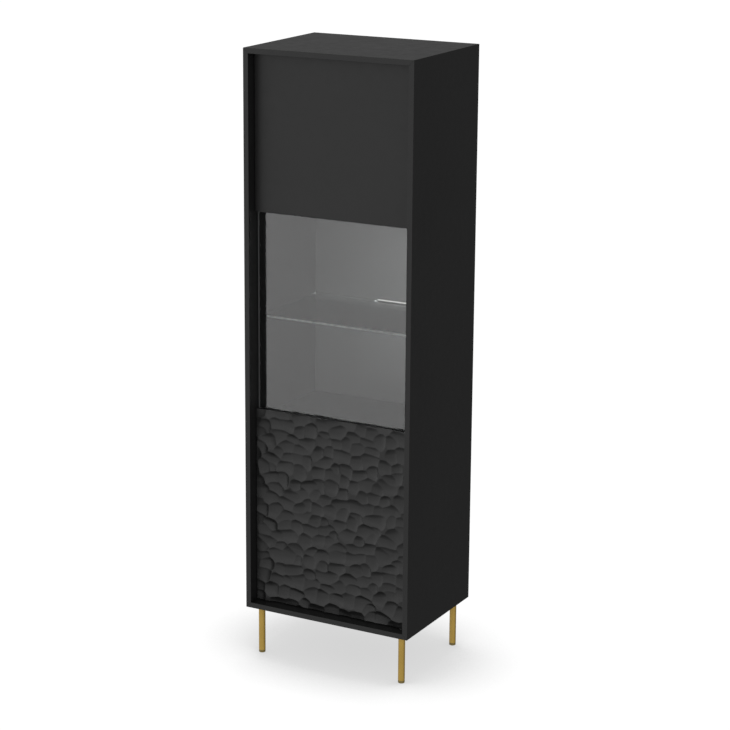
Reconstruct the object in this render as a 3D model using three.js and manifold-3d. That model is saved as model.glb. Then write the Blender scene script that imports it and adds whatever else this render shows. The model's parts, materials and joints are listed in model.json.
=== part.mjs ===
// Tall display cabinet on four round legs: a mitred box with one full-height inset door. The door has a
// plain panel at the top, a glass window in the middle and a carved panel at the bottom. It turns on pivot
// pins at its right edge and is held by a push latch at its left edge.
// Millimetres, +Z up. The origin is on the floor under the middle of the cabinet, and the front faces -Y.

import * as THREE from "three";
import { mergeVertices } from "three/addons/utils/BufferGeometryUtils.js";
import Module from "manifold-3d";

const wasm = await Module();
wasm.setup();

// Driving dimensions
const WIDTH = 545;
const DEPTH = 408;
const HEIGHT = 1837;
const LEG_HEIGHT = 150;
const BOARD = 16;

// Carcass
const SIDE = WIDTH / 2;
const FRONT = -DEPTH / 2;
const REAR = DEPTH / 2;
const UNDERSIDE = LEG_HEIGHT;
const INSIDE = SIDE - BOARD;
const FLOOR = UNDERSIDE + BOARD;
const CEILING = HEIGHT - BOARD;
const BACK_INSET = 12;
const BACK_THICKNESS = 3;
const BACK_REAR = REAR - BACK_INSET;
const BACK_FRONT = BACK_REAR - BACK_THICKNESS;
const BACK_TONGUE = 4; // how far the back reaches into its groove
const GROOVE = 4.5;
const FIT = 0.3; // gap between a round piece and its hole

// Shelves, by the height of each one's top face
const SHELF_FRONT = -134;
const LOWER_FIXED_TOP = 735;
const UPPER_FIXED_TOP = 1410;
const BACK_JOINT = LOWER_FIXED_TOP - BOARD / 2; // the two back boards meet behind the lower fixed shelf
const ADJUSTABLE_TOP = 451;
const ADJUSTABLE_GAP = 1;
const GLASS_SHELF_TOP = 1046;
const GLASS_SHELF_THICKNESS = 6;
const GLASS_SHELF_GAP = 1;
const GLASS_SHELF_REAR = 185;
const SUPPORT_Y = [-100, 150];
const SUPPORT_PIN = 2.5;
const SUPPORT_REACH = 8; // how far a support's pin goes into the side panel
const SUPPORT_SHOE = 7.5;
const SUPPORT_HEIGHT = 8;
const GLASS_SUPPORT_Z = GLASS_SHELF_TOP - GLASS_SHELF_THICKNESS - SUPPORT_HEIGHT / 2;
const BOARD_SUPPORT_Z = ADJUSTABLE_TOP - BOARD - SUPPORT_HEIGHT / 2;

// Shelf light, a little to the right of the middle
const LED_LEFT = -38.5;
const LED_LENGTH = 110;
const LED_DEPTH = 10;
const LED_HEIGHT = 3.5;
const LED_LIP = 1;
const LED_LENS = 1.5;
const LED_REAR = BACK_FRONT - 0.5;

// Door
const DOOR_RECESS = 33;
const DOOR_SIDE_GAP = 2;
const DOOR_END_GAP = 3;
const DOOR_HALF = INSIDE - DOOR_SIDE_GAP;
const DOOR_FRONT = FRONT + DOOR_RECESS;
const DOOR_BOTTOM = FLOOR + DOOR_END_GAP;
const DOOR_TOP = CEILING - DOOR_END_GAP;
const DOOR_BOARD = 19;
const WINDOW_BOTTOM = 766.5;
const WINDOW_TOP = 1360.5;

// Carved relief of the door's lower panel
const SCOOP_PITCH_X = 44;
const SCOOP_PITCH_Z = 34;
const SCOOP_DEPTH = 8.5;
const SCOOP_JITTER = 0.8;
const SCOOP_RISE = 18; // reach of a scoop above its middle
const SCOOP_FALL = 34; // reach of a scoop below its middle
const ROW_WAVE = 4; // how far the rows of scoops wander up and down
const ROW_WAVE_X = 21;
const ROW_WAVE_Z = 37;
const ROW_WAVE_TWIST = 2.3;
const EDGE_FADE = 45; // how far in from an upright edge the carving reaches its full depth
const EDGE_DEPTH = 0.3; // share of that depth at the edge itself

// Door frame: flat black bars behind the two panels, with the pane bonded to their front
const FRAME_FRONT = DOOR_FRONT + DOOR_BOARD;
const FRAME_REAR = FRAME_FRONT + 8;
const FRAME_WIDTH = 23;
const FRAME_INNER = DOOR_HALF - FRAME_WIDTH;
const RAIL_SIGHT = 4; // how much of a middle rail reaches into the window
const GLASS_THICKNESS = 4;
const GLASS_FRONT = FRAME_FRONT - GLASS_THICKNESS;
const GLASS_PLAY = 0.5;
const TRIM_WIDTH = 4; // of the strip that seals each upright edge of the pane

// Door pivots
const PIVOT_X = DOOR_HALF - 20;
const PIVOT_Y = DOOR_FRONT + 7;
const PIVOT_PLATE = 2.5;
const PIN_RADIUS = 3;
const PIN_LENGTH = 10;
const PIN_SHOULDER = 5;
const BUSH_BORE = 3.2;
const BUSH_RADIUS = 5;
const BUSH_FLANGE = 7;
const BUSH_LENGTH = 8;

// Push latch, under the lower fixed shelf
const LATCH_X = -215;
const LATCH_DROP = 9; // its axis below the shelf
const LATCH_Z = LOWER_FIXED_TOP - BOARD - LATCH_DROP;
const LATCH_NOSE = FRAME_REAR + 8;
const LATCH_TAIL = LATCH_NOSE + 70;
const PLUNGER_RADIUS = 4;
const PLUNGER_LENGTH = 52;
const MAGNET_LENGTH = 2;
const STRIKE = 28;
const STRIKE_THICKNESS = 1;

// Legs
const LEG_INSET_X = 34.5;
const LEG_INSET_Y = 35;
const LEG_RADIUS = 10;
const LEG_WALL = 1.5;
const LEG_PLATE = 44;
const LEG_PLATE_THICKNESS = 3;
const GLIDE_HEIGHT = 8;

// Cable outlet in the back, at the foot of the display compartment
const OUTLET_X = 225;
const OUTLET_Z = 760;
const OUTLET_BORE = 6;

const ROUND = 24; // sides of a leg
const SMALL_ROUND = 16; // sides of a pin, bush or hole

// ---- Materials ------------------------------------------------------------------------------------

function material(colour, roughness, metalness = 0, extra = {}) {
  return () => new THREE.MeshStandardMaterial({ color: colour, roughness, metalness, ...extra });
}

const blackBoard = material(0x383838, 0.55);
const carvedBoard = material(0x343434, 0.5);
const backBoard = material(0x3c3c3c, 0.7);
const blackFrame = material(0x141414, 0.3);
const clearGlass = material(0x9aa0a0, 0.05, 0, { transparent: true, opacity: 0.35 });
const blackPlastic = material(0x1a1a1a, 0.5);
const bronzePlastic = material(0x76652f, 0.5);
const whitePlastic = material(0xe8e8e4, 0.4);
const greySeal = material(0x3c3c3c, 0.7);
const brass = material(0xa3863f, 0.3, 1);
const steel = material(0xb4b6b8, 0.3, 1);
const blackSteel = material(0x1c1c1c, 0.5, 1);

// ---- Shape helpers --------------------------------------------------------------------------------

// Local axes of a section drawn in (x, y) and pushed along z, for each direction it can be pushed.
const ALONG = {
  x: new THREE.Matrix4().set(0, 0, 1, 0, 1, 0, 0, 0, 0, 1, 0, 0, 0, 0, 0, 1),
  y: new THREE.Matrix4().set(1, 0, 0, 0, 0, 0, -1, 0, 0, 1, 0, 0, 0, 0, 0, 1),
  z: new THREE.Matrix4(),
};

// Local axes of a profile turned about y, for each direction its axis can point.
const TURNED = {
  x: new THREE.Matrix4().set(0, 1, 0, 0, 1, 0, 0, 0, 0, 0, -1, 0, 0, 0, 0, 1),
  y: new THREE.Matrix4(),
  z: new THREE.Matrix4().set(1, 0, 0, 0, 0, 0, -1, 0, 0, 1, 0, 0, 0, 0, 0, 1),
};

function block([x0, x1], [y0, y1], [z0, z1]) {
  return new THREE.BoxGeometry(x1 - x0, y1 - y0, z1 - z0).translate(
    (x0 + x1) / 2,
    (y0 + y1) / 2,
    (z0 + z1) / 2,
  );
}

// A closed outline pushed straight along an axis, from one coordinate to another.
function pushed(outline, axis, from, to) {
  const shape = new THREE.Shape(outline.map(([u, v]) => new THREE.Vector2(u, v)));
  const solid = new THREE.ExtrudeGeometry(shape, { depth: to - from, bevelEnabled: false });
  solid.applyMatrix4(ALONG[axis]);
  const start = axis === "y" ? to : from;
  return solid.translate(axis === "x" ? start : 0, axis === "y" ? start : 0, axis === "z" ? start : 0);
}

// A profile of [radius, height] points, from the foot up the outside, turned about an axis.
function turned(profile, axis = "z", sides = SMALL_ROUND) {
  const points = profile.map(([radius, height]) => new THREE.Vector2(radius, height));
  return new THREE.LatheGeometry(points, sides).applyMatrix4(TURNED[axis]);
}

function rod(radius, from, to, axis = "z", sides = SMALL_ROUND) {
  const profile = [
    [0, from],
    [radius, from],
    [radius, to],
    [0, to],
  ];
  return turned(profile, axis, sides);
}

function ring(inner, outer, from, to, axis = "z", sides = SMALL_ROUND) {
  const profile = [
    [inner, from],
    [outer, from],
    [outer, to],
    [inner, to],
    [inner, from],
  ];
  return turned(profile, axis, sides);
}

function toSolid(geometry) {
  const bare = geometry.clone();
  bare.deleteAttribute("normal");
  bare.deleteAttribute("uv");
  const merged = mergeVertices(bare, 1e-3);
  const mesh = new wasm.Mesh({
    numProp: 3,
    vertProperties: merged.attributes.position.array,
    triVerts: new Uint32Array(merged.index.array),
  });
  const solid = new wasm.Manifold(mesh);
  if (solid.volume() > 0) return solid;
  mesh.triVerts.reverse();
  return new wasm.Manifold(mesh);
}

function toGeometry(solid) {
  const mesh = solid.getMesh();
  const geometry = new THREE.BufferGeometry();
  geometry.setAttribute("position", new THREE.BufferAttribute(mesh.vertProperties, 3));
  geometry.setIndex(new THREE.BufferAttribute(mesh.triVerts, 1));
  geometry.computeVertexNormals();
  return geometry;
}

function joined(...geometries) {
  return toGeometry(geometries.map(toSolid).reduce((whole, next) => whole.add(next)));
}

function cut(geometry, ...tools) {
  return toGeometry(tools.map(toSolid).reduce((whole, tool) => whole.subtract(tool), toSolid(geometry)));
}

function piece(name, geometry, makeMaterial) {
  const mesh = new THREE.Mesh(geometry, makeMaterial());
  mesh.name = name;
  return mesh;
}

function group(...children) {
  return new THREE.Group().add(...children);
}

// ---- Carcass --------------------------------------------------------------------------------------

// The groove that holds the back's edge, all round the inside of the box.
function backGroove() {
  return block(
    [-INSIDE - GROOVE, INSIDE + GROOVE],
    [BACK_FRONT, BACK_REAR],
    [FLOOR - GROOVE, CEILING + GROOVE],
  );
}

// A blind hole in a side panel for the pin of a shelf support.
function supportHole(y, z, side) {
  const reach = INSIDE + SUPPORT_REACH + 1;
  const [from, to] = side > 0 ? [INSIDE - 1, reach] : [-reach, 1 - INSIDE];
  return rod(SUPPORT_PIN + FIT, from, to, "x").translate(0, y, z);
}

// Boards meet at mitred corners, so only one unbroken edge shows round the front.
function sidePanel(name, side) {
  const outline = [
    [INSIDE, FLOOR],
    [SIDE, UNDERSIDE],
    [SIDE, HEIGHT],
    [INSIDE, CEILING],
  ].map(([x, z]) => [side * x, z]);
  const board = pushed(side > 0 ? outline : outline.reverse(), "y", FRONT, REAR);
  const holes = SUPPORT_Y.flatMap((y) => [
    supportHole(y, GLASS_SUPPORT_Z, side),
    supportHole(y, BOARD_SUPPORT_Z, side),
  ]);
  return piece(name, cut(board, backGroove(), ...holes), blackBoard);
}

function bushSeat(from, to) {
  return rod(BUSH_RADIUS + FIT, from, to).translate(PIVOT_X, PIVOT_Y, 0);
}

function topPanel() {
  const outline = [
    [-INSIDE, CEILING],
    [INSIDE, CEILING],
    [SIDE, HEIGHT],
    [-SIDE, HEIGHT],
  ];
  const seat = bushSeat(CEILING - 1, CEILING + BUSH_LENGTH + 1);
  return piece("top_panel", cut(pushed(outline, "y", FRONT, REAR), backGroove(), seat), blackBoard);
}

function bottomPanel() {
  const outline = [
    [-SIDE, UNDERSIDE],
    [SIDE, UNDERSIDE],
    [INSIDE, FLOOR],
    [-INSIDE, FLOOR],
  ];
  const seat = bushSeat(FLOOR - BUSH_LENGTH - 1, FLOOR + 1);
  return piece("bottom_panel", cut(pushed(outline, "y", FRONT, REAR), backGroove(), seat), blackBoard);
}

function backPanels() {
  const across = [-INSIDE - BACK_TONGUE, INSIDE + BACK_TONGUE];
  const through = [BACK_FRONT, BACK_REAR];
  const lower = block(across, through, [FLOOR - BACK_TONGUE, BACK_JOINT - 0.5]);
  const upper = block(across, through, [BACK_JOINT + 0.5, CEILING + BACK_TONGUE]);
  const outlet = rod(OUTLET_BORE + 2 + FIT, BACK_FRONT - 5, BACK_REAR + 5, "y");
  outlet.translate(OUTLET_X, 0, OUTLET_Z);
  return [
    piece("back_panel_lower", lower, backBoard),
    piece("back_panel_upper", cut(upper, outlet), backBoard),
  ];
}

function cableGrommet() {
  const flange = OUTLET_BORE + 4;
  const tube = ring(OUTLET_BORE, OUTLET_BORE + 2, BACK_FRONT - 1.5, BACK_REAR + 2, "y");
  const rim = ring(OUTLET_BORE, flange, BACK_FRONT - 2, BACK_FRONT, "y");
  return piece("cable_grommet", joined(tube, rim).translate(OUTLET_X, 0, OUTLET_Z), blackPlastic);
}

function wallBracket() {
  const thickness = 2;
  const front = BACK_REAR + 0.5;
  const foot = CEILING - 30;
  const outline = [
    [front, CEILING - thickness],
    [REAR - thickness, CEILING - thickness],
    [REAR - thickness, foot],
    [REAR, foot],
    [REAR, CEILING],
    [front, CEILING],
  ];
  const screwHole = rod(3, REAR - 2 * thickness, REAR + thickness, "y").translate(0, 0, foot + 10);
  return piece("wall_bracket", cut(pushed(outline, "x", -20, 20), screwHole), steel);
}

function carcass() {
  return group(
    sidePanel("side_panel_left", -1),
    sidePanel("side_panel_right", 1),
    topPanel(),
    bottomPanel(),
    ...backPanels(),
    cableGrommet(),
    wallBracket(),
  );
}

// ---- Shelves and their supports -------------------------------------------------------------------

function fixedShelf(name, top) {
  const board = block([-INSIDE, INSIDE], [SHELF_FRONT, BACK_FRONT], [top - BOARD, top]);
  return piece(name, board, blackBoard);
}

function adjustableShelf() {
  const half = INSIDE - ADJUSTABLE_GAP;
  const board = block([-half, half], [SHELF_FRONT, BACK_FRONT - 2], [ADJUSTABLE_TOP - BOARD, ADJUSTABLE_TOP]);
  return piece("adjustable_shelf", board, blackBoard);
}

function glassShelf() {
  const half = INSIDE - GLASS_SHELF_GAP;
  const levels = [GLASS_SHELF_TOP - GLASS_SHELF_THICKNESS, GLASS_SHELF_TOP];
  return piece("glass_shelf", block([-half, half], [SHELF_FRONT, GLASS_SHELF_REAR], levels), clearGlass);
}

// A pin in the side panel with a flat shoe that the shelf lies on.
function shelfSupport(name, side, y, z) {
  const pin = rod(SUPPORT_PIN, INSIDE - SUPPORT_SHOE + 1, INSIDE + SUPPORT_REACH, "x");
  const pad = block([INSIDE - SUPPORT_SHOE, INSIDE], [-5, 5], [-SUPPORT_HEIGHT / 2, SUPPORT_HEIGHT / 2]);
  const mesh = piece(name, joined(pin, pad), blackSteel);
  mesh.rotation.z = side > 0 ? 0 : Math.PI;
  mesh.position.set(0, y, z);
  return mesh;
}

function shelfSupports(name, z) {
  const corners = [
    ["front_left", -1, SUPPORT_Y[0]],
    ["front_right", 1, SUPPORT_Y[0]],
    ["rear_left", -1, SUPPORT_Y[1]],
    ["rear_right", 1, SUPPORT_Y[1]],
  ];
  return corners.map(([corner, side, y]) => shelfSupport(name + "_" + corner, side, y, z));
}

// A slim bar on the glass shelf's rear edge, held by a thin lip under the glass, with a light strip on top.
function ledClip() {
  const [left, right] = [LED_LEFT, LED_LEFT + LED_LENGTH];
  const glassFoot = GLASS_SHELF_TOP - GLASS_SHELF_THICKNESS;
  const front = LED_REAR - LED_DEPTH;
  const top = GLASS_SHELF_TOP + LED_HEIGHT;
  const outline = [
    [front + 1, glassFoot - LED_LIP],
    [LED_REAR, glassFoot - LED_LIP],
    [LED_REAR, top],
    [front, top],
    [front, GLASS_SHELF_TOP],
    [GLASS_SHELF_REAR, GLASS_SHELF_TOP],
    [GLASS_SHELF_REAR, glassFoot],
    [front + 1, glassFoot],
  ];
  const lens = block([left + 1, right - 1], [front, LED_REAR], [top, top + LED_LENS]);
  return [
    piece("led_clip_body", pushed(outline, "x", left, right), blackFrame),
    piece("led_clip_lens", lens, whitePlastic),
  ];
}

function interior() {
  return group(
    fixedShelf("fixed_shelf_lower", LOWER_FIXED_TOP),
    fixedShelf("fixed_shelf_upper", UPPER_FIXED_TOP),
    adjustableShelf(),
    glassShelf(),
    ...shelfSupports("glass_shelf_support", GLASS_SUPPORT_Z),
    ...shelfSupports("board_shelf_support", BOARD_SUPPORT_Z),
    ...ledClip(),
  );
}

// ---- Legs -----------------------------------------------------------------------------------------

function roundedSquare(side, radius) {
  const half = side / 2;
  const inner = half - radius;
  const shape = new THREE.Shape();
  shape.moveTo(half, -inner);
  shape.lineTo(half, inner);
  shape.absarc(inner, inner, radius, 0, Math.PI / 2);
  shape.lineTo(-inner, half);
  shape.absarc(-inner, inner, radius, Math.PI / 2, Math.PI);
  shape.lineTo(-half, -inner);
  shape.absarc(-inner, -inner, radius, Math.PI, 1.5 * Math.PI);
  shape.lineTo(inner, -half);
  shape.absarc(inner, -inner, radius, 1.5 * Math.PI, 2 * Math.PI);
  return shape;
}

function legPlate(name) {
  const outline = roundedSquare(LEG_PLATE, 6);
  const holeAt = LEG_PLATE / 2 - 7;
  for (const x of [-holeAt, holeAt]) {
    for (const y of [-holeAt, holeAt]) {
      outline.holes.push(new THREE.Path().absarc(x, y, 2.2, 0, 2 * Math.PI));
    }
  }
  const plate = new THREE.ExtrudeGeometry(outline, {
    depth: LEG_PLATE_THICKNESS,
    bevelEnabled: false,
    curveSegments: 3,
  });
  const mesh = piece(name, plate, steel);
  mesh.position.z = UNDERSIDE - LEG_PLATE_THICKNESS;
  return mesh;
}

function legTube(name) {
  const top = UNDERSIDE - LEG_PLATE_THICKNESS;
  return piece(name, ring(LEG_RADIUS - LEG_WALL, LEG_RADIUS, GLIDE_HEIGHT, top, "z", ROUND), brass);
}

// A plastic plug pushed into the tube, with a foot as wide as the tube.
function legGlide(name) {
  const stem = LEG_RADIUS - LEG_WALL - FIT;
  const chamfer = 1;
  const profile = [
    [0, 0],
    [LEG_RADIUS - chamfer, 0],
    [LEG_RADIUS, chamfer],
    [LEG_RADIUS, GLIDE_HEIGHT],
    [stem, GLIDE_HEIGHT],
    [stem, GLIDE_HEIGHT + 14],
    [0, GLIDE_HEIGHT + 14],
  ];
  return piece(name, turned(profile, "z", ROUND), bronzePlastic);
}

function leg(corner, x, y) {
  const parts = group(
    legPlate("leg_plate_" + corner),
    legTube("leg_tube_" + corner),
    legGlide("leg_glide_" + corner),
  );
  parts.position.set(x, y, 0);
  return parts;
}

function legs() {
  const x = SIDE - LEG_INSET_X;
  const y = REAR - LEG_INSET_Y;
  return group(
    leg("front_left", -x, -y),
    leg("front_right", x, -y),
    leg("rear_left", -x, y),
    leg("rear_right", x, y),
  );
}

// ---- Door -----------------------------------------------------------------------------------------

// A pivot plate's seat in a door panel's end, from z0 to z1.
function pivotPlateBlock(z0, z1) {
  return block([PIVOT_X - 28, PIVOT_X + 15], [PIVOT_Y - 5, PIVOT_Y + 5], [z0, z1]);
}

function upperPanel() {
  const board = block([-DOOR_HALF, DOOR_HALF], [DOOR_FRONT, FRAME_FRONT], [WINDOW_TOP, DOOR_TOP]);
  const seat = pivotPlateBlock(DOOR_TOP - PIVOT_PLATE, DOOR_TOP + 1);
  return piece("door_upper_panel", cut(board, seat), blackBoard);
}

// Repeatable scatter in 0..1 for a pair of whole numbers.
function scatter(i, j, k) {
  const wave = Math.sin(i * 127.1 + j * 311.7 + k * 74.7) * 43758.5453;
  return wave - Math.floor(wave);
}

// Gouge strokes on the carved panel: wide, low scoops in staggered rows.
function scoops() {
  const columns = Math.ceil((2 * DOOR_HALF) / SCOOP_PITCH_X) + 2;
  const rows = Math.ceil((WINDOW_BOTTOM - DOOR_BOTTOM) / SCOOP_PITCH_Z) + 2;
  const made = [];
  for (let row = 0; row < rows; row++) {
    for (let column = 0; column < columns; column++) {
      const shift = row % 2 ? 0.5 : 0;
      const alongRow = column - 1 + shift + SCOOP_JITTER * (scatter(column, row, 0) - 0.5);
      const up = row - 0.5 + SCOOP_JITTER * (scatter(column, row, 1) - 0.5);
      made.push({
        x: -DOOR_HALF + alongRow * SCOOP_PITCH_X,
        z: DOOR_BOTTOM + up * SCOOP_PITCH_Z,
        depth: SCOOP_DEPTH * (0.7 + 0.3 * scatter(column, row, 2)),
        half: SCOOP_PITCH_X * (0.46 + 0.5 * scatter(column, row, 3)),
      });
    }
  }
  return made;
}

// How deep the deepest stroke cuts at a point of the carved face: steep above a scoop's middle, and a long
// run out with a lip below it.
function carveDepth(x, z, strokes) {
  const wave = ROW_WAVE * Math.sin(x / ROW_WAVE_X + ROW_WAVE_TWIST * Math.sin(z / ROW_WAVE_Z));
  let deepest = 0;
  for (const stroke of strokes) {
    const across = Math.abs(x - stroke.x) / stroke.half;
    const up = z + wave - stroke.z;
    const along = up > 0 ? (up / SCOOP_RISE) ** 2 : (-up / SCOOP_FALL) ** 2.5;
    deepest = Math.max(deepest, stroke.depth * (1 - across ** 2.5 - along));
  }
  const inset = (DOOR_HALF - Math.abs(x)) / EDGE_FADE;
  return deepest * Math.min(1, EDGE_DEPTH + (1 - EDGE_DEPTH) * inset);
}

function lowerPanel() {
  const across = 32;
  const high = 38;
  const width = 2 * DOOR_HALF;
  const height = WINDOW_BOTTOM - DOOR_BOTTOM;
  const spare = 4; // sawn off behind to leave a flat back
  const board = new THREE.BoxGeometry(width, DOOR_BOARD + spare, height, across, 1, high);
  board.translate(0, (DOOR_FRONT + FRAME_FRONT + spare) / 2, (DOOR_BOTTOM + WINDOW_BOTTOM) / 2);
  const strokes = scoops();
  const at = board.attributes.position;
  for (let i = 0; i < at.count; i++) {
    if (at.getY(i) === DOOR_FRONT) {
      at.setY(i, DOOR_FRONT + carveDepth(at.getX(i), at.getZ(i), strokes));
    }
  }
  const behind = block(
    [-DOOR_HALF - 1, DOOR_HALF + 1],
    [FRAME_FRONT, FRAME_FRONT + 2 * spare],
    [DOOR_BOTTOM - 1, WINDOW_BOTTOM + 1],
  );
  const seat = pivotPlateBlock(DOOR_BOTTOM - 1, DOOR_BOTTOM + PIVOT_PLATE);
  return piece("door_lower_panel", cut(board, behind, seat), carvedBoard);
}

function frameBar(name, across, levels) {
  return piece(name, block(across, [FRAME_FRONT, FRAME_REAR], levels), blackFrame);
}

function doorFrame() {
  const full = [DOOR_BOTTOM, DOOR_TOP];
  const between = [-FRAME_INNER, FRAME_INNER];
  const rail = (name, bottom) => frameBar(name, between, [bottom, bottom + FRAME_WIDTH]);
  return [
    frameBar("door_stile_left", [-DOOR_HALF, -FRAME_INNER], full),
    frameBar("door_stile_right", [FRAME_INNER, DOOR_HALF], full),
    rail("door_rail_bottom", DOOR_BOTTOM),
    rail("door_rail_lower_mid", WINDOW_BOTTOM + RAIL_SIGHT - FRAME_WIDTH),
    rail("door_rail_upper_mid", WINDOW_TOP - RAIL_SIGHT),
    rail("door_rail_top", DOOR_TOP - FRAME_WIDTH),
  ];
}

function doorGlass() {
  const half = DOOR_HALF - TRIM_WIDTH - GLASS_PLAY;
  const levels = [WINDOW_BOTTOM + GLASS_PLAY, WINDOW_TOP - GLASS_PLAY];
  return piece("door_glass", block([-half, half], [GLASS_FRONT, FRAME_FRONT], levels), clearGlass);
}

function glassTrim(name, side) {
  const across = [side * DOOR_HALF, side * (DOOR_HALF - TRIM_WIDTH)].sort((a, b) => a - b);
  return piece(name, block(across, [GLASS_FRONT, FRAME_FRONT], [WINDOW_BOTTOM, WINDOW_TOP]), greySeal);
}

// A plate let into the end of a door panel, with the pivot pin standing on it.
function pivotPlate(name, faceZ, way) {
  const inner = faceZ - way * PIVOT_PLATE;
  const plate = pivotPlateBlock(Math.min(faceZ, inner), Math.max(faceZ, inner));
  const span = (start, end) => [faceZ + way * start, faceZ + way * end].sort((a, b) => a - b);
  const pin = rod(PIN_RADIUS, ...span(-1, PIN_LENGTH)).translate(PIVOT_X, PIVOT_Y, 0);
  const shoulder = rod(PIN_SHOULDER, ...span(-1, DOOR_END_GAP - 1.3)).translate(PIVOT_X, PIVOT_Y, 0);
  return piece(name, joined(plate, pin, shoulder), blackSteel);
}

function pivotBush(name, faceZ, way) {
  const profile = [
    [BUSH_BORE, -1],
    [BUSH_FLANGE, -1],
    [BUSH_FLANGE, 0],
    [BUSH_RADIUS, 0],
    [BUSH_RADIUS, BUSH_LENGTH],
    [BUSH_BORE, BUSH_LENGTH],
    [BUSH_BORE, -1],
  ];
  const mesh = piece(name, turned(profile), blackPlastic);
  mesh.rotation.x = way > 0 ? 0 : Math.PI;
  mesh.position.set(PIVOT_X, PIVOT_Y, faceZ);
  return mesh;
}

function strikePlate() {
  const half = STRIKE / 2;
  const plate = block(
    [LATCH_X - half, LATCH_X + half],
    [FRAME_FRONT, FRAME_FRONT + STRIKE_THICKNESS],
    [LATCH_Z - half, LATCH_Z + half],
  );
  return piece("strike_plate", plate, steel);
}

function door() {
  return group(
    upperPanel(),
    lowerPanel(),
    ...doorFrame(),
    doorGlass(),
    glassTrim("glass_trim_left", -1),
    glassTrim("glass_trim_right", 1),
    pivotPlate("pivot_plate_top", DOOR_TOP, 1),
    pivotPlate("pivot_plate_bottom", DOOR_BOTTOM, -1),
    strikePlate(),
  );
}

function bushes() {
  return group(pivotBush("pivot_bush_top", CEILING, 1), pivotBush("pivot_bush_bottom", FLOOR, -1));
}

// ---- Push latch -----------------------------------------------------------------------------------

function latchHousing() {
  const half = LATCH_DROP;
  const ears = 3;
  const bore = rod(PLUNGER_RADIUS + FIT, LATCH_NOSE - 1, LATCH_NOSE + 46, "y");
  bore.translate(LATCH_X, 0, LATCH_Z);
  const body = block(
    [LATCH_X - half, LATCH_X + half],
    [LATCH_NOSE, LATCH_TAIL],
    [LATCH_Z - half, LATCH_Z + half],
  );
  const flange = block(
    [LATCH_X - 2 * half, LATCH_X + 2 * half],
    [LATCH_NOSE + 27, LATCH_NOSE + 47],
    [LATCH_Z + half - ears, LATCH_Z + half],
  );
  return piece("latch_housing", cut(joined(body, flange), bore), blackPlastic);
}

// The plunger's magnet just clears the strike plate when the door is shut.
function latchPlunger() {
  const tip = FRAME_FRONT + STRIKE_THICKNESS + FIT;
  const magnetEnd = tip + MAGNET_LENGTH;
  const stem = rod(PLUNGER_RADIUS, magnetEnd, magnetEnd + PLUNGER_LENGTH, "y");
  const moving = group(
    piece("latch_magnet", rod(PLUNGER_RADIUS, tip, magnetEnd, "y"), steel),
    piece("latch_plunger", stem, whitePlastic),
  );
  moving.position.set(LATCH_X, 0, LATCH_Z);
  return moving;
}

const cabinet = group(carcass(), interior(), legs(), bushes(), door(), latchHousing(), latchPlunger());

export default cabinet;
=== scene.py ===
import json
import math

import bmesh
import bpy
import numpy as np
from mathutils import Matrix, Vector


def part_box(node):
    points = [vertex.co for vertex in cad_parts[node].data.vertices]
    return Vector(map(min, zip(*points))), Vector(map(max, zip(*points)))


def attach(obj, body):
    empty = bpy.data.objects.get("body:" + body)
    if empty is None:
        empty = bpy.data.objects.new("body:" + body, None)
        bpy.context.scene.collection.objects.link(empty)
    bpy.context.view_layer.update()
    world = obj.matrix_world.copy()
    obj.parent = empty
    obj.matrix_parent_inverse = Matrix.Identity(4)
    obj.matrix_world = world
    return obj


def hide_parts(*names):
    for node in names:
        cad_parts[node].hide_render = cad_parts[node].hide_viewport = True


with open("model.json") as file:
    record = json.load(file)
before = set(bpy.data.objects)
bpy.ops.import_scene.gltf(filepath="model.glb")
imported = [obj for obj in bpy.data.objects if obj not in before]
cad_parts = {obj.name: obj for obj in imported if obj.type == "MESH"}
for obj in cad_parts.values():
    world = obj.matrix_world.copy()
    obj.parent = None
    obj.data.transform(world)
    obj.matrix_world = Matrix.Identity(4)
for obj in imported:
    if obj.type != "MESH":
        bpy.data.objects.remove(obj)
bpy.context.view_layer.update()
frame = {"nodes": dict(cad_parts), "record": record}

# The looks of a tall black display cabinet. Metres, in the CAD frame: the origin is on the floor under
# the middle of the cabinet, the front faces -Y and +Z is up.

NODES = frame["nodes"]
SLOT_OF = {part["node"]: part["material_slot"] for part in frame["record"]["subparts"]}
MM = 0.001

# Camera: turned to the cabinet's right and looking down a little, through a long lens
CAMERA_AZIMUTH = math.radians(30.0)
CAMERA_ELEVATION = math.radians(14.69)
CAMERA_LENS = 112.9
CAMERA_SHIFT = (0.0899, -0.0285)
CAMERA_DISTANCE = 6.849
CAMERA_AIM = Vector((-0.2055, 0.0, 0.931))

# Carved panel: the same gouge strokes as the CAD model, cut into a finer grid. A stroke's depth and half
# width are a share of SCOOP_DEPTH and SCOOP_PITCH_X, between SHARE and SHARE + SPREAD.
SCOOP_PITCH_X = 44 * MM
SCOOP_PITCH_Z = 34 * MM
SCOOP_DEPTH = 8.5 * MM
SCOOP_JITTER = 0.8
SCOOP_DEPTH_SHARE = 0.7
SCOOP_DEPTH_SPREAD = 0.3
SCOOP_HALF_SHARE = 0.46
SCOOP_HALF_SPREAD = 0.5
SCOOP_RISE = 18 * MM
SCOOP_FALL = 34 * MM
SCOOP_SIDE_POWER = 2.5
SCOOP_RISE_POWER = 2
SCOOP_FALL_POWER = 2.5
ROW_WAVE = 4 * MM
ROW_WAVE_X = 21 * MM
ROW_WAVE_Z = 37 * MM
ROW_WAVE_TWIST = 2.3
EDGE_FADE = 45 * MM
EDGE_DEPTH = 0.3
CARVED_GRID = 1.5 * MM

# Legs: the tube's wall and the small chamfers at its ends, and the glide that plugs into its foot
TUBE_WALL = 1.5 * MM
TUBE_CHAMFER = 0.4 * MM
GLIDE_HOLE = 0.5 * MM
GLIDE_STEM_INSET = 1.8 * MM
GLIDE_GAP = 0.05 * MM
TURNED_SIDES = 72

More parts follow.
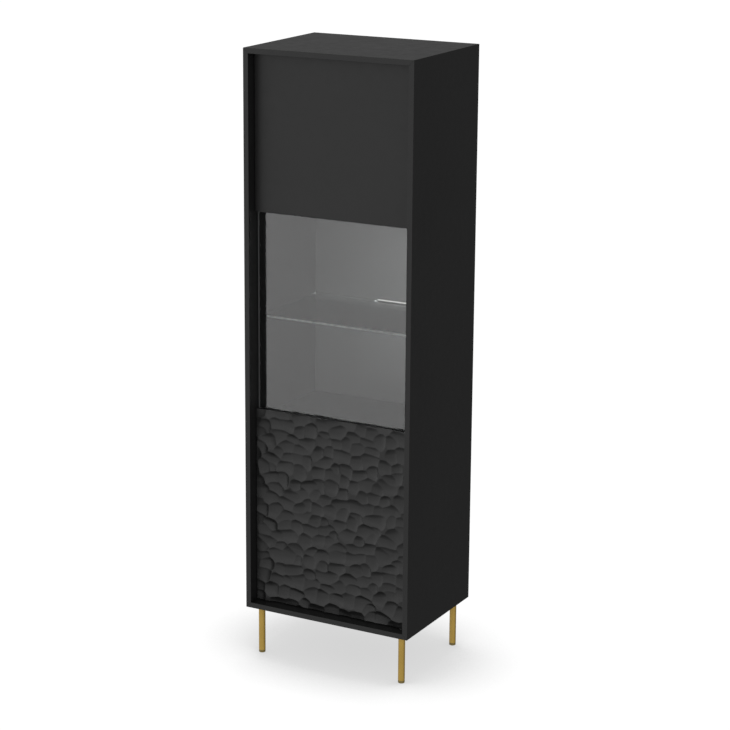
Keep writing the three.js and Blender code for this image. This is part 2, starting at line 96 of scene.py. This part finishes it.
# Glass shelf: how far its ground front edge reaches back, and the steps in its half-round
GROUND_EDGE = 4 * MM
HALF_ROUND_STEPS = 12

CORNERS = ("front_left", "front_right", "rear_left", "rear_right")


# ---- Node helpers -------------------------------------------------------------------------------

def grey(value, tint=(1.0, 1.0, 1.0)):
    return tuple(value * channel for channel in tint)


def shades(tone, spread):
    """A grey a little darker than tone, and one a little lighter."""
    return grey(tone * (1.0 - spread)), grey(tone * (1.0 + spread))


def fill_ramp(node, stops):
    """Gives a colour ramp its (position, colour) stops."""
    elements = node.color_ramp.elements
    while len(elements) < len(stops):
        elements.new(0.5)
    for element, (position, colour) in zip(elements, stops):
        element.position = position
        element.color = (*colour, 1.0)


class Shader:
    """A material's node tree with one Principled shader, and short ways to add to it."""

    def __init__(self, name):
        self.material = bpy.data.materials.new(name)
        self.material.use_nodes = True
        self.tree = self.material.node_tree
        self.principled = self.tree.nodes["Principled BSDF"]
        self.where = self.tree.nodes.new("ShaderNodeTexCoord").outputs["Object"]

    def add(self, kind, **settings):
        node = self.tree.nodes.new(kind)
        for key, value in settings.items():
            setattr(node, key, value)
        return node

    def link(self, source, target):
        self.tree.links.new(source, target)

    def set(self, **values):
        for key, value in values.items():
            self.principled.inputs[key.replace("_", " ")].default_value = value

    def stretched(self, stretch):
        """The place on the object, scaled along each axis, for patterns that run one way."""
        mapping = self.add("ShaderNodeMapping")
        mapping.inputs["Scale"].default_value = stretch
        self.link(self.where, mapping.inputs["Vector"])
        return mapping.outputs["Vector"]

    def noise(self, scale, detail=3.0, roughness=0.5, vector=None):
        node = self.add("ShaderNodeTexNoise")
        node.inputs["Scale"].default_value = scale
        node.inputs["Detail"].default_value = detail
        node.inputs["Roughness"].default_value = roughness
        self.link(vector or self.where, node.inputs["Vector"])
        return node.outputs["Fac"]

    def ramp(self, factor, low, high, start=0.3, end=0.7):
        """A number that goes from low to high as factor goes from start to end."""
        node = self.add("ShaderNodeMapRange")
        node.inputs["From Min"].default_value = start
        node.inputs["From Max"].default_value = end
        node.inputs["To Min"].default_value = low
        node.inputs["To Max"].default_value = high
        self.link(factor, node.inputs["Value"])
        return node.outputs["Result"]

    def colours(self, factor, *stops):
        """A colour ramp through (position, colour) stops."""
        node = self.add("ShaderNodeValToRGB")
        fill_ramp(node, stops)
        self.link(factor, node.inputs["Fac"])
        return node.outputs["Color"]

    def paint(self, colour):
        self.link(colour, self.principled.inputs["Base Color"])

    def mottle(self, factor, dark, light):
        """Paints the surface in two close colours that run into each other."""
        self.paint(self.colours(factor, (0.3, dark), (0.7, light)))

    def rough(self, value):
        self.link(value, self.principled.inputs["Roughness"])

    def bump(self, height, depth, strength=1.0):
        """Raises the surface by depth metres where height is 1, on top of any bump already there."""
        node = self.add("ShaderNodeBump")
        node.inputs["Strength"].default_value = strength
        node.inputs["Distance"].default_value = depth
        self.link(height, node.inputs["Height"])
        normal = self.principled.inputs["Normal"]
        if normal.is_linked:
            self.link(normal.links[0].from_socket, node.inputs["Normal"])
        self.link(node.outputs["Normal"], normal)


# ---- Materials ----------------------------------------------------------------------------------

def black_board(name, tone, roughness):
    """Matt black laminate: a fine pressed stipple, faint cloudiness and slightly uneven sheen."""
    shader = Shader(name)
    cloud = shader.noise(scale=5.0, detail=4.0)
    stipple = shader.noise(scale=1400.0, detail=2.0)
    shader.mottle(cloud, *shades(tone, 0.1))
    shader.rough(shader.ramp(shader.noise(scale=40.0, detail=5.0), roughness - 0.03, roughness + 0.04))
    shader.bump(stipple, 0.04 * MM)
    shader.set(Specular_IOR_Level=0.24)
    return shader.material


def carved_lacquer(name, tone):
    """Black lacquer over carved board: a little grain from the tool and a soft sheen."""
    shader = Shader(name)
    grain = shader.stretched((0.5, 1.0, 1.6))
    strokes = shader.noise(scale=60.0, detail=4.0, roughness=0.6, vector=grain)
    shader.mottle(strokes, *shades(tone, 0.12))
    shader.rough(shader.ramp(shader.noise(scale=90.0, detail=4.0), 0.33, 0.42))
    shader.bump(shader.noise(scale=220.0, detail=3.0), 0.1 * MM, 0.5)
    shader.bump(shader.noise(scale=1600.0, detail=2.0), 0.02 * MM)
    shader.set(Specular_IOR_Level=0.26)
    return shader.material


def back_foil(name, tone):
    """Foil on fibreboard, smoother and a touch greyer than the boards."""
    shader = Shader(name)
    shader.mottle(shader.noise(scale=8.0, detail=4.0), *shades(tone, 0.1))
    shader.rough(shader.ramp(shader.noise(scale=30.0, detail=4.0), 0.36, 0.44))
    shader.bump(shader.noise(scale=700.0, detail=2.0), 0.04 * MM)
    shader.set(Specular_IOR_Level=0.6)
    return shader.material


def anodised(name, tone, roughness):
    """Black anodised aluminium with the fine lines of its drawing, along its length."""
    shader = Shader(name)
    grain = shader.stretched((1.0, 1.0, 0.01))
    lines = shader.noise(scale=900.0, detail=2.0, roughness=0.5, vector=grain)
    shader.mottle(lines, *shades(tone, 0.15))
    shader.rough(shader.ramp(lines, roughness - 0.05, roughness + 0.06))
    shader.bump(lines, 0.01 * MM)
    shader.set(Specular_IOR_Level=0.12)
    return shader.material


def glass(name, tint):
    """Clear float glass with faint smears in its polish, as a shader that can be added to."""
    shader = Shader(name)
    grain = shader.stretched((1.0, 1.0, 0.4))
    smear = shader.noise(scale=7.0, detail=5.0, roughness=0.6, vector=grain)
    light = tuple(min(1.0, channel * 1.02) for channel in tint)
    shader.mottle(smear, tint, light)
    shader.rough(shader.ramp(smear, 0.0, 0.012))
    shader.set(Transmission_Weight=1.0, IOR=1.52)
    let_light_through(shader, light)
    return shader


def shelf_glass(name, tint):
    """Clear glass whose front edge is left finely ground."""
    shader = glass(name, tint)
    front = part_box("glass_shelf")[0].y
    split = shader.add("ShaderNodeSeparateXYZ")
    shader.link(shader.where, split.inputs["Vector"])
    shader.rough(shader.ramp(split.outputs["Y"], 0.55, 0.0, front, front + GROUND_EDGE))
    return shader.material


def let_light_through(shader, tint):
    """Lets shadow rays and scattered light straight through the glass, to what stands behind it."""
    path = shader.add("ShaderNodeLightPath")
    either = shader.add("ShaderNodeMath", operation="MAXIMUM")
    shader.link(path.outputs["Is Shadow Ray"], either.inputs[0])
    shader.link(path.outputs["Is Diffuse Ray"], either.inputs[1])
    clear = shader.add("ShaderNodeBsdfTransparent")
    clear.inputs["Color"].default_value = (*tint, 1.0)
    mix = shader.add("ShaderNodeMixShader")
    shader.link(either.outputs[0], mix.inputs["Fac"])
    shader.link(shader.principled.outputs["BSDF"], mix.inputs[1])
    shader.link(clear.outputs["BSDF"], mix.inputs[2])
    shader.link(mix.outputs["Shader"], shader.tree.nodes["Material Output"].inputs["Surface"])


def moulded_plastic(name, colour, roughness):
    """Moulded plastic with a fine spark-eroded texture."""
    shader = Shader(name)
    spread = shader.noise(scale=60.0, detail=3.0)
    darker = tuple(0.9 * channel for channel in colour)
    shader.mottle(spread, darker, colour)
    shader.rough(shader.ramp(spread, roughness - 0.06, roughness + 0.06))
    shader.bump(shader.noise(scale=2500.0, detail=2.0), 0.03 * MM)
    return shader.material


def light_strip(name):
    """The lit diffuser of the shelf light: brighter where the diodes sit behind it."""
    shader = Shader(name)
    diodes = shader.add("ShaderNodeTexWave", wave_type="BANDS", bands_direction="X")
    diodes.inputs["Scale"].default_value = 20.0
    shader.link(shader.where, diodes.inputs["Vector"])
    shader.paint(shader.colours(diodes.outputs["Fac"], (0.0, grey(0.28)), (1.0, grey(0.34))))
    shader.rough(shader.ramp(shader.noise(scale=500.0), 0.4, 0.5))
    shader.set(Emission_Color=(1.0, 0.99, 0.96, 1.0), Emission_Strength=0.4)
    return shader.material


def brushed_brass(name):
    """Satin brass plating, brushed round the leg, with slow changes of tone along it."""
    shader = Shader(name)
    grain = shader.stretched((0.02, 0.02, 1.0))
    lines = shader.noise(scale=1500.0, detail=2.0, roughness=0.5, vector=grain)
    tone = shader.noise(scale=14.0, detail=3.0)
    shader.mottle(tone, (0.25, 0.161, 0.028), (0.29, 0.19, 0.036))
    shader.rough(shader.ramp(lines, 0.44, 0.54))
    shader.bump(lines, 0.008 * MM)
    shader.set(Metallic=0.6)
    return shader.material


def plated_steel(name, tone, roughness):
    """Plated steel with a faint bloom."""
    shader = Shader(name)
    bloom = shader.noise(scale=120.0, detail=4.0)
    shader.mottle(bloom, grey(tone * 0.85), grey(tone, (1.0, 1.0, 1.01)))
    shader.rough(shader.ramp(bloom, roughness - 0.07, roughness + 0.08))
    shader.bump(shader.noise(scale=900.0, detail=2.0), 0.01 * MM)
    shader.set(Metallic=1.0)
    return shader.material


def make_materials():
    return {
        "black_board": black_board("black_board", 0.004, 0.42),
        "carved_board": carved_lacquer("carved_board", 0.004),
        "back_board": back_foil("back_board", 0.04),
        "black_frame": anodised("black_frame", 0.002, 0.2),
        "grey_seal": moulded_plastic("grey_seal", (0.028, 0.028, 0.029), 0.6),
        "door_glass": glass("door_glass", (0.95, 0.96, 0.96)).material,
        "shelf_glass": shelf_glass("shelf_glass", (0.9, 0.95, 0.93)),
        "black_plastic": moulded_plastic("black_plastic", (0.012, 0.012, 0.012), 0.45),
        "bronze_plastic": moulded_plastic("bronze_plastic", (0.1, 0.07, 0.009), 0.6),
        "white_plastic": moulded_plastic("white_plastic", (0.7, 0.7, 0.67), 0.4),
        "light_diffuser": light_strip("light_diffuser"),
        "brass": brushed_brass("brass"),
        "steel": plated_steel("steel", 0.6, 0.32),
        "black_steel": plated_steel("black_steel", 0.015, 0.45),
    }


# ---- Mesh helpers -------------------------------------------------------------------------------

def dress(obj, material):
    obj.data.materials.clear()
    obj.data.materials.append(material)


def soften(obj, width):
    """Rounds the sharp edges of a piece a little, without changing its own mesh."""
    weld = obj.modifiers.new("weld", "WELD")
    weld.merge_threshold = 0.01 * MM
    bevel = obj.modifiers.new("soft_edges", "BEVEL")
    bevel.width = width
    bevel.segments = 2
    bevel.limit_method = "ANGLE"
    bevel.angle_limit = math.radians(35)


def stand_in(name, mesh, node, body, materials):
    """A finely made piece that takes a CAD node's place, and moves with its body."""
    obj = bpy.data.objects.new(name, mesh)
    bpy.context.scene.collection.objects.link(obj)
    dress(obj, materials[SLOT_OF[node]])
    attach(obj, body)
    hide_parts(node)


def mesh_from(name, build):
    """A mesh made by a function that fills an empty bmesh."""
    mesh = bpy.data.meshes.new(name)
    shape = bmesh.new()
    build(shape)
    bmesh.ops.recalc_face_normals(shape, faces=shape.faces)
    shape.to_mesh(mesh)
    shape.free()
    return mesh


def smoothed(mesh, sharp_degrees):
    """Shades a mesh smooth, but leaves edges sharper than an angle crisp."""
    mesh.shade_smooth()
    mesh.set_sharp_from_angle(angle=math.radians(sharp_degrees))
    return mesh


def turned_mesh(name, profile, centre):
    """A profile of (radius, height) points turned about an upright axis through centre."""
    def build(shape):
        rings = []
        for radius, height in profile:
            ring = []
            for step in range(TURNED_SIDES):
                angle = 2 * math.pi * step / TURNED_SIDES
                offset = Vector((radius * math.cos(angle), radius * math.sin(angle), height))
                ring.append(shape.verts.new(Vector((centre[0], centre[1], 0.0)) + offset))
            rings.append(ring)
        for lower, upper in zip(rings, rings[1:] + rings[:1]):
            for step in range(TURNED_SIDES):
                after = (step + 1) % TURNED_SIDES
                shape.faces.new((lower[step], lower[after], upper[after], upper[step]))

    return smoothed(mesh_from(name, build), 32)


# ---- Carved panel -------------------------------------------------------------------------------

SCATTER_WEIGHTS = (127.1, 311.7, 74.7)
SCATTER_SCALE = 43758.5453


def scatter(i, j, k):
    """Repeatable scatter in 0..1 for whole numbers."""
    weight_i, weight_j, weight_k = SCATTER_WEIGHTS
    wave = math.sin(i * weight_i + j * weight_j + k * weight_k) * SCATTER_SCALE
    return wave - math.floor(wave)


def scoops(left, bottom, right, top):
    """The gouge strokes, as (x, z, depth, half width), in staggered rows."""
    columns = math.ceil((right - left) / SCOOP_PITCH_X) + 2
    rows = math.ceil((top - bottom) / SCOOP_PITCH_Z) + 2
    for row in range(rows):
        for column in range(columns):
            shift = 0.5 if row % 2 else 0.0
            along = column - 1 + shift + SCOOP_JITTER * (scatter(column, row, 0) - 0.5)
            up = row - 0.5 + SCOOP_JITTER * (scatter(column, row, 1) - 0.5)
            yield (
                left + along * SCOOP_PITCH_X,
                bottom + up * SCOOP_PITCH_Z,
                SCOOP_DEPTH * (SCOOP_DEPTH_SHARE + SCOOP_DEPTH_SPREAD * scatter(column, row, 2)),
                SCOOP_PITCH_X * (SCOOP_HALF_SHARE + SCOOP_HALF_SPREAD * scatter(column, row, 3)),
            )


def carve_depth(x, z, strokes):
    """How deep the deepest stroke cuts at each point: steep above a scoop's middle, with a lip below."""
    wave = ROW_WAVE * np.sin(x / ROW_WAVE_X + ROW_WAVE_TWIST * np.sin(z / ROW_WAVE_Z))
    deepest = np.zeros_like(x)
    for centre_x, centre_z, depth, half in strokes:
        across = np.abs(x - centre_x) / half
        up = z + wave - centre_z
        above = (np.maximum(up, 0.0) / SCOOP_RISE) ** SCOOP_RISE_POWER
        below = (np.maximum(-up, 0.0) / SCOOP_FALL) ** SCOOP_FALL_POWER
        deepest = np.maximum(deepest, depth * (1 - across**SCOOP_SIDE_POWER - above - below))
    return deepest


def edge_fade(x, left, right):
    """How much of the carving is left near the panel's upright edges."""
    inset = np.minimum(x - left, right - x) / EDGE_FADE
    return np.minimum(1.0, EDGE_DEPTH + (1.0 - EDGE_DEPTH) * inset)


def carved_mesh(low, high):
    """The carved panel: a fine relief in front, and flat sides and back."""
    columns = round((high.x - low.x) / CARVED_GRID) + 1
    rows = round((high.z - low.z) / CARVED_GRID) + 1
    x, z = np.meshgrid(np.linspace(low.x, high.x, columns), np.linspace(low.z, high.z, rows))
    strokes = list(scoops(low.x, low.z, high.x, high.z))
    y = low.y + carve_depth(x, z, strokes) * edge_fade(x, low.x, high.x)
    points = np.stack([x, y, z], axis=-1).reshape(-1, 3)

    def build(shape):
        verts = [shape.verts.new(point) for point in points]
        for row in range(rows - 1):
            for column in range(columns - 1):
                at = row * columns + column
                shape.faces.new((verts[at], verts[at + 1], verts[at + columns + 1], verts[at + columns]))
        rim = [edge for edge in shape.edges if edge.is_boundary]
        pulled = bmesh.ops.extrude_edge_only(shape, edges=rim)["geom"]
        back = [item for item in pulled if isinstance(item, bmesh.types.BMVert)]
        for vert in back:
            vert.co.y = high.y
        outline = [item for item in pulled if isinstance(item, bmesh.types.BMEdge)]
        bmesh.ops.contextual_create(shape, geom=outline)

    return smoothed(mesh_from("carved_panel", build), 50)


def carved_panel(materials):
    node = "door_lower_panel"
    stand_in("carved_panel", carved_mesh(*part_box(node)), node, "door", materials)


# ---- Glass shelf --------------------------------------------------------------------------------

def glass_shelf(materials):
    """The glass shelf with a half-round front edge."""
    low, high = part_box("glass_shelf")
    radius = (high.z - low.z) / 2
    outline = [(high.y, low.z), (high.y, high.z)]
    for step in range(HALF_ROUND_STEPS + 1):
        angle = math.pi * (0.5 + step / HALF_ROUND_STEPS)
        y = low.y + radius + radius * math.cos(angle)
        z = low.z + radius + radius * math.sin(angle)
        outline.append((y, z))

    def build(shape):
        left = [shape.verts.new((low.x, y, z)) for y, z in outline]
        right = [shape.verts.new((high.x, y, z)) for y, z in outline]
        shape.faces.new(left)
        shape.faces.new(reversed(right))
        for at in range(len(outline)):
            after = (at + 1) % len(outline)
            shape.faces.new((left[at], right[at], right[after], left[after]))

    mesh = smoothed(mesh_from("glass_shelf_polished", build), 35)
    stand_in("glass_shelf_polished", mesh, "glass_shelf", "carcass", materials)


# ---- Legs ---------------------------------------------------------------------------------------

def turned_piece(name, node, profile, materials):
    """A turned piece of the carcass, about the middle of the CAD node whose place it takes."""
    low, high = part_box(node)
    mesh = turned_mesh(name, profile, (low + high) / 2)
    stand_in(name, mesh, node, "carcass", materials)


def leg_tube(corner, materials):
    node = "leg_tube_" + corner
    low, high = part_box(node)
    radius = (high.x - low.x) / 2
    bore = radius - TUBE_WALL
    profile = [
        (bore, low.z),
        (radius - TUBE_CHAMFER, low.z),
        (radius, low.z + TUBE_CHAMFER),
        (radius, high.z - TUBE_CHAMFER),
        (radius - TUBE_CHAMFER, high.z),
        (bore, high.z),
    ]
    turned_piece("brass_leg_" + corner, node, profile, materials)


def leg_glide(corner, materials):
    """A glide with a rounded foot under the tube's end, and a stem inside the tube."""
    node = "leg_glide_" + corner
    low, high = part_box(node)
    tube_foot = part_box("leg_tube_" + corner)[0].z
    radius = (high.x - low.x) / 2
    stem = radius - GLIDE_STEM_INSET
    profile = [
        (GLIDE_HOLE, low.z),
        (radius - 1.6 * MM, low.z),
        (radius - 0.6 * MM, low.z + 0.4 * MM),
        (radius - 0.1 * MM, low.z + 1.4 * MM),
        (radius - 0.1 * MM, tube_foot - 1.0 * MM),
        (radius - 0.6 * MM, tube_foot - 0.4 * MM),
        (radius - 0.6 * MM, tube_foot - GLIDE_GAP),
        (stem, tube_foot - GLIDE_GAP),
        (stem, high.z),
        (GLIDE_HOLE, high.z),
    ]
    turned_piece("glide_" + corner, node, profile, materials)


# ---- CAD pieces ---------------------------------------------------------------------------------

# The radius of the softened edges, by material slot
EDGE_SOFTNESS = {
    "black_board": 0.5 * MM,
    "back_board": 0.2 * MM,
    "black_frame": 0.4 * MM,
    "door_glass": 0.3 * MM,
    "steel": 0.25 * MM,
    "black_steel": 0.25 * MM,
    "light_diffuser": 0.4 * MM,
    "black_plastic": 0.4 * MM,
    "white_plastic": 0.2 * MM,
}


def dress_cad_nodes(materials):
    for part in frame["record"]["subparts"]:
        node = NODES[part["node"]]
        slot = part["material_slot"]
        dress(node, materials[slot])
        if slot in EDGE_SOFTNESS:
            soften(node, EDGE_SOFTNESS[slot])


# ---- Stage --------------------------------------------------------------------------------------

# How bright the studio is in each direction: (height of the direction, brightness) stops from straight
# down to straight up, for the half in front of the cabinet and the half behind it.
FRONT_LIGHT = ((-1.0, 0.25), (-0.8, 0.4), (-0.5, 0.9), (-0.25, 1.5), (0.2, 2.2), (0.6, 1.6), (1.0, 1.0))
BACK_LIGHT = ((-1.0, 0.3), (-0.6, 0.18), (-0.25, 0.155), (0.25, 0.275), (0.6, 0.5), (1.0, 1.0))
BRIGHTEST = 2.5

# Where the light goes from the half behind to the half in front, by the direction's Y
HALVES_MEET = (0.5, -0.1)


def height_ramp(tree, height, stops):
    """Brightness by the height of a direction."""
    spread = tree.nodes.new("ShaderNodeMapRange")
    spread.inputs["From Min"].default_value = -1.0
    tree.links.new(height, spread.inputs["Value"])
    ramp = tree.nodes.new("ShaderNodeValToRGB")
    fill_ramp(ramp, [((level + 1.0) / 2.0, grey(brightness / BRIGHTEST)) for level, brightness in stops])
    tree.links.new(spread.outputs["Result"], ramp.inputs["Fac"])
    return ramp.outputs["Color"]


def light_by_direction(tree):
    """The studio's brightness in each direction: bright in front and dim behind."""
    split = tree.nodes.new("ShaderNodeSeparateXYZ")
    tree.links.new(tree.nodes.new("ShaderNodeTexCoord").outputs["Generated"], split.inputs["Vector"])
    front = tree.nodes.new("ShaderNodeMapRange")
    front.interpolation_type = "SMOOTHSTEP"
    front.inputs["From Min"].default_value = HALVES_MEET[0]
    front.inputs["From Max"].default_value = HALVES_MEET[1]
    tree.links.new(split.outputs["Y"], front.inputs["Value"])
    mix = tree.nodes.new("ShaderNodeMix")
    mix.data_type = "RGBA"
    tree.links.new(front.outputs["Result"], mix.inputs["Factor"])
    tree.links.new(height_ramp(tree, split.outputs["Z"], BACK_LIGHT), mix.inputs["A"])
    tree.links.new(height_ramp(tree, split.outputs["Z"], FRONT_LIGHT), mix.inputs["B"])
    return mix.outputs["Result"]


def studio_sky():
    """Soft light all round, and a plain white backdrop that only the camera sees."""
    world = bpy.data.worlds.new("studio")
    bpy.context.scene.world = world
    world.use_nodes = True
    tree = world.node_tree
    background = tree.nodes["Background"]
    tree.links.new(light_by_direction(tree), background.inputs["Color"])
    background.inputs["Strength"].default_value = BRIGHTEST
    backdrop = tree.nodes.new("ShaderNodeBackground")
    backdrop.inputs["Color"].default_value = (1.0, 1.0, 1.0, 1.0)
    seen = tree.nodes.new("ShaderNodeMixShader")
    tree.links.new(tree.nodes.new("ShaderNodeLightPath").outputs["Is Camera Ray"], seen.inputs["Fac"])
    tree.links.new(background.outputs["Background"], seen.inputs[1])
    tree.links.new(backdrop.outputs["Background"], seen.inputs[2])
    tree.links.new(seen.outputs["Shader"], tree.nodes["World Output"].inputs["Surface"])


# Painted shadow on the floor: its brightness by how open the air above it is, and how far off the
# cabinet darkens it
FLOOR_SHADE = ((0.0, 0.6), (0.25, 0.66), (0.62, 0.71), (0.8, 0.9), (0.95, 1.04))
FLOOR_SHADE_REACH = 0.37
FLOOR_HALF_WIDTH = 60.0


def floor_material():
    """Pale, with a painted shadow: softly darker where the cabinet closes off the air above."""
    shader = Shader("pale_floor")
    openness = shader.add("ShaderNodeAmbientOcclusion", samples=16)
    openness.inputs["Distance"].default_value = FLOOR_SHADE_REACH
    stops = [(place, grey(level)) for place, level in FLOOR_SHADE]
    # painted shadow: the floor's glow is dimmed where the cabinet closes off the air above, not shaded
    # by the lights
    shade = shader.colours(openness.outputs["AO"], *stops)
    glow = shader.add("ShaderNodeEmission")
    shader.link(shade, glow.inputs["Color"])
    shader.link(glow.outputs["Emission"], shader.tree.nodes["Material Output"].inputs["Surface"])
    shader.material.cycles.emission_sampling = "NONE"
    return shader.material


def studio_floor():
    """A wide pale floor that throws no light back at the cabinet."""
    size = FLOOR_HALF_WIDTH
    corners = [(-size, -size, 0), (size, -size, 0), (size, size, 0), (-size, size, 0)]
    mesh = bpy.data.meshes.new("floor")
    mesh.from_pydata(corners, [], [(0, 1, 2, 3)])
    floor = bpy.data.objects.new("floor", mesh)
    bpy.context.scene.collection.objects.link(floor)
    dress(floor, floor_material())
    floor.visible_diffuse = False
    floor.visible_glossy = False
    floor.visible_transmission = False
    floor.visible_shadow = False


def studio_camera():
    data = bpy.data.cameras.new("camera")
    data.lens = CAMERA_LENS
    data.shift_x, data.shift_y = CAMERA_SHIFT
    data.clip_end = 200.0
    camera = bpy.data.objects.new("camera", data)
    bpy.context.scene.collection.objects.link(camera)
    flat = math.cos(CAMERA_ELEVATION)
    back = Vector((
        math.sin(CAMERA_AZIMUTH) * flat,
        -math.cos(CAMERA_AZIMUTH) * flat,
        math.sin(CAMERA_ELEVATION),
    ))
    camera.location = CAMERA_AIM + back * CAMERA_DISTANCE
    camera.rotation_euler = (-back).to_track_quat("-Z", "Y").to_euler()
    bpy.context.scene.camera = camera


def main():
    bpy.context.scene.view_settings.view_transform = "Standard"
    studio_camera()
    studio_sky()
    studio_floor()
    materials = make_materials()
    dress_cad_nodes(materials)
    carved_panel(materials)
    glass_shelf(materials)
    for corner in CORNERS:
        leg_tube(corner, materials)
        leg_glide(corner, materials)


main()
